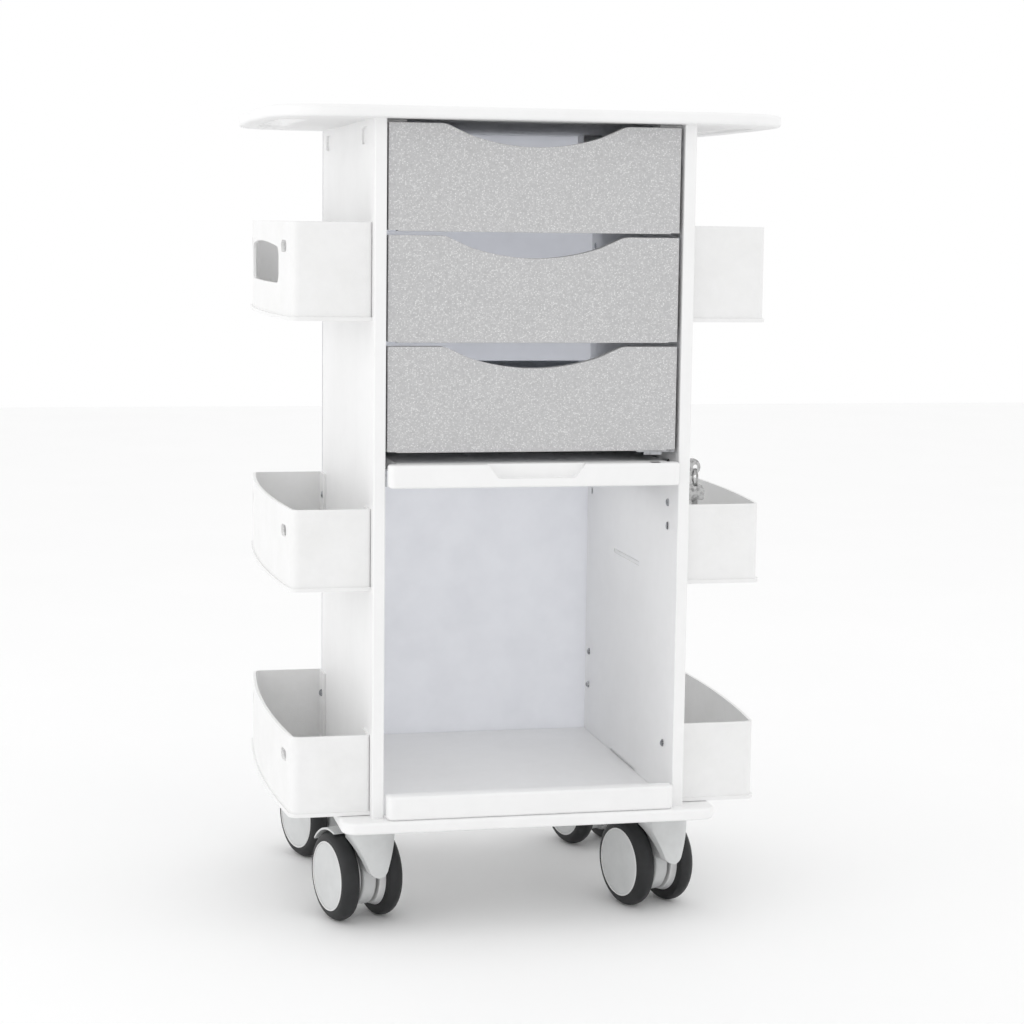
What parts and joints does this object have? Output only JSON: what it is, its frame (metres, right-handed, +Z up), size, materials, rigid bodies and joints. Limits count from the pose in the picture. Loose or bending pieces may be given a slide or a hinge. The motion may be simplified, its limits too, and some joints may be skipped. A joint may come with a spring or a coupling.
{
  "type": "rolling salon trolley",
  "caption": "White sheet-plastic salon trolley with scooped grey drawers, a pull-out shelf, an open compartment, side bins and twin-wheel casters.",
  "frame": {"origin": "on the floor, under the centre of the overall box", "axes": "+Z up, +X to the right, drawers open towards -Y"},
  "size_m": [0.5738, 0.4316, 0.889],
  "materials": {
    "white_sheet": "white sheet plastic, fine orange-peel texture",
    "inner_sheet": "pale grey-white liner, faint mottle",
    "bin_plastic": "white formed plastic, pebble texture",
    "drawer_front": "silver grey with fine white specks",
    "drawer_box": "white sheet plastic",
    "zinc": "zinc plated steel",
    "nickel": "nickel plated",
    "caster_plastic": "pale grey moulded nylon",
    "hub_plastic": "white moulded nylon",
    "tyre_rubber": "dark grey rubber",
    "axle_steel": "turned steel"
  },
  "bodies": {
    "cabinet": {"worktop": "white_sheet", "side_panel_left": "white_sheet", "side_panel_right": "white_sheet", "back_panel": "inner_sheet", "base_board": "white_sheet", "floor_tray": "white_sheet", "cabinet_rails": "zinc", "panel_screws": "zinc", "worktop_cleats": "white_sheet", "pocket_caps": "white_sheet", "lock_barrel": "nickel", "caster_stems": "zinc", "bin_left_top": "bin_plastic", "bin_left_middle": "bin_plastic", "bin_left_bottom": "bin_plastic", "bin_right_top": "bin_plastic", "bin_right_middle": "bin_plastic", "bin_right_bottom": "bin_plastic"},
    "drawer_1": {"drawer_1_front": "drawer_front", "drawer_1_box": "drawer_box", "drawer_1_rails": "zinc"},
    "drawer_2": {"drawer_2_front": "drawer_front", "drawer_2_box": "drawer_box", "drawer_2_rails": "zinc"},
    "drawer_3": {"drawer_3_front": "drawer_front", "drawer_3_box": "drawer_box", "drawer_3_rails": "zinc", "lock_strike": "zinc"},
    "shelf": {"pull_out_shelf": "white_sheet", "shelf_rails": "zinc"},
    "lock_cylinder": {"lock_plug": "nickel", "lock_cam": "zinc", "lock_cam_screw": "zinc", "lock_key": "nickel"},
    "ring": {"key_ring": "nickel"},
    "spare": {"spare_key": "nickel"},
    "caster_front_left": {"caster_front_left_hood": "caster_plastic", "caster_front_left_axle": "axle_steel"},
    "caster_front_left_wheel_left": {"caster_front_left_hub_left": "hub_plastic", "caster_front_left_tyre_left": "tyre_rubber"},
    "caster_front_left_wheel_right": {"caster_front_left_hub_right": "hub_plastic", "caster_front_left_tyre_right": "tyre_rubber"},
    "caster_front_right": {"caster_front_right_hood": "caster_plastic", "caster_front_right_axle": "axle_steel"},
    "caster_front_right_wheel_left": {"caster_front_right_hub_left": "hub_plastic", "caster_front_right_tyre_left": "tyre_rubber"},
    "caster_front_right_wheel_right": {"caster_front_right_hub_right": "hub_plastic", "caster_front_right_tyre_right": "tyre_rubber"},
    "caster_rear_left": {"caster_rear_left_hood": "caster_plastic", "caster_rear_left_axle": "axle_steel"},
    "caster_rear_left_wheel_left": {"caster_rear_left_hub_left": "hub_plastic", "caster_rear_left_tyre_left": "tyre_rubber"},
    "caster_rear_left_wheel_right": {"caster_rear_left_hub_right": "hub_plastic", "caster_rear_left_tyre_right": "tyre_rubber"},
    "caster_rear_right": {"caster_rear_right_hood": "caster_plastic", "caster_rear_right_axle": "axle_steel"},
    "caster_rear_right_wheel_left": {"caster_rear_right_hub_left": "hub_plastic", "caster_rear_right_tyre_left": "tyre_rubber"},
    "caster_rear_right_wheel_right": {"caster_rear_right_hub_right": "hub_plastic", "caster_rear_right_tyre_right": "tyre_rubber"}
  },
  "joints": [
    {"name": "drawer_1_slide", "type": "slide", "parent": "cabinet", "child": "drawer_1", "axis": [0, -1, 0], "range_m": [0, 0.27]},
    {"name": "drawer_2_slide", "type": "slide", "parent": "cabinet", "child": "drawer_2", "axis": [0, -1, 0], "range_m": [0, 0.27]},
    {"name": "drawer_3_slide", "type": "slide", "parent": "cabinet", "child": "drawer_3", "axis": [0, -1, 0], "range_m": [0, 0.27]},
    {"name": "shelf_slide", "type": "slide", "parent": "cabinet", "child": "shelf", "axis": [0, -1, 0], "range_m": [0, 0.22]},
    {"name": "lock_turn", "type": "hinge", "parent": "cabinet", "child": "lock_cylinder", "pos_m": [0.1737, -0.15442, 0.505], "axis": [1, 0, 0], "range_deg": [0, 90]},
    {"name": "ring_swing", "type": "hinge", "parent": "lock_cylinder", "child": "ring", "pos_m": [0.192, -0.15442, 0.5033], "axis": [0, 1, 0], "range_deg": [-30, 3]},
    {"name": "spare_key_swing", "type": "hinge", "parent": "ring", "child": "spare", "pos_m": [0.192, -0.15442, 0.4841], "axis": [0, 1, 0], "range_deg": [-30, 3]},
    {"name": "caster_front_left_swivel", "type": "hinge", "parent": "cabinet", "child": "caster_front_left", "pos_m": [-0.167, -0.14042, 0.11], "axis": [0, 0, 1], "continuous": true},
    {"name": "caster_front_left_wheel_left_spin", "type": "hinge", "parent": "caster_front_left", "child": "caster_front_left_wheel_left", "pos_m": [-0.17637, -0.10774, 0.05], "axis": [0.9613, 0.2756, 0], "continuous": true},
    {"name": "caster_front_left_wheel_right_spin", "type": "hinge", "parent": "caster_front_left", "child": "caster_front_left_wheel_right", "pos_m": [-0.17637, -0.10774, 0.05], "axis": [0.9613, 0.2756, 0], "continuous": true},
    {"name": "caster_front_right_swivel", "type": "hinge", "parent": "cabinet", "child": "caster_front_right", "pos_m": [0.167, -0.14042, 0.11], "axis": [0, 0, 1], "continuous": true},
    {"name": "caster_front_right_wheel_left_spin", "type": "hinge", "parent": "caster_front_right", "child": "caster_front_right_wheel_left", "pos_m": [0.15763, -0.10774, 0.05], "axis": [0.9613, 0.2756, 0], "continuous": true},
    {"name": "caster_front_right_wheel_right_spin", "type": "hinge", "parent": "caster_front_right", "child": "caster_front_right_wheel_right", "pos_m": [0.15763, -0.10774, 0.05], "axis": [0.9613, 0.2756, 0], "continuous": true},
    {"name": "caster_rear_left_swivel", "type": "hinge", "parent": "cabinet", "child": "caster_rear_left", "pos_m": [-0.167, 0.12758, 0.11], "axis": [0, 0, 1], "continuous": true},
    {"name": "caster_rear_left_wheel_left_spin", "type": "hinge", "parent": "caster_rear_left", "child": "caster_rear_left_wheel_left", "pos_m": [-0.17863, 0.15953, 0.05], "axis": [0.9397, 0.342, 0], "continuous": true},
    {"name": "caster_rear_left_wheel_right_spin", "type": "hinge", "parent": "caster_rear_left", "child": "caster_rear_left_wheel_right", "pos_m": [-0.17863, 0.15953, 0.05], "axis": [0.9397, 0.342, 0], "continuous": true},
    {"name": "caster_rear_right_swivel", "type": "hinge", "parent": "cabinet", "child": "caster_rear_right", "pos_m": [0.167, 0.12758, 0.11], "axis": [0, 0, 1], "continuous": true},
    {"name": "caster_rear_right_wheel_left_spin", "type": "hinge", "parent": "caster_rear_right", "child": "caster_rear_right_wheel_left", "pos_m": [0.15706, 0.16009, 0.05], "axis": [0.9563, 0.2924, 0], "continuous": true},
    {"name": "caster_rear_right_wheel_right_spin", "type": "hinge", "parent": "caster_rear_right", "child": "caster_rear_right_wheel_right", "pos_m": [0.15706, 0.16009, 0.05], "axis": [0.9563, 0.2924, 0], "continuous": true}
  ]
}
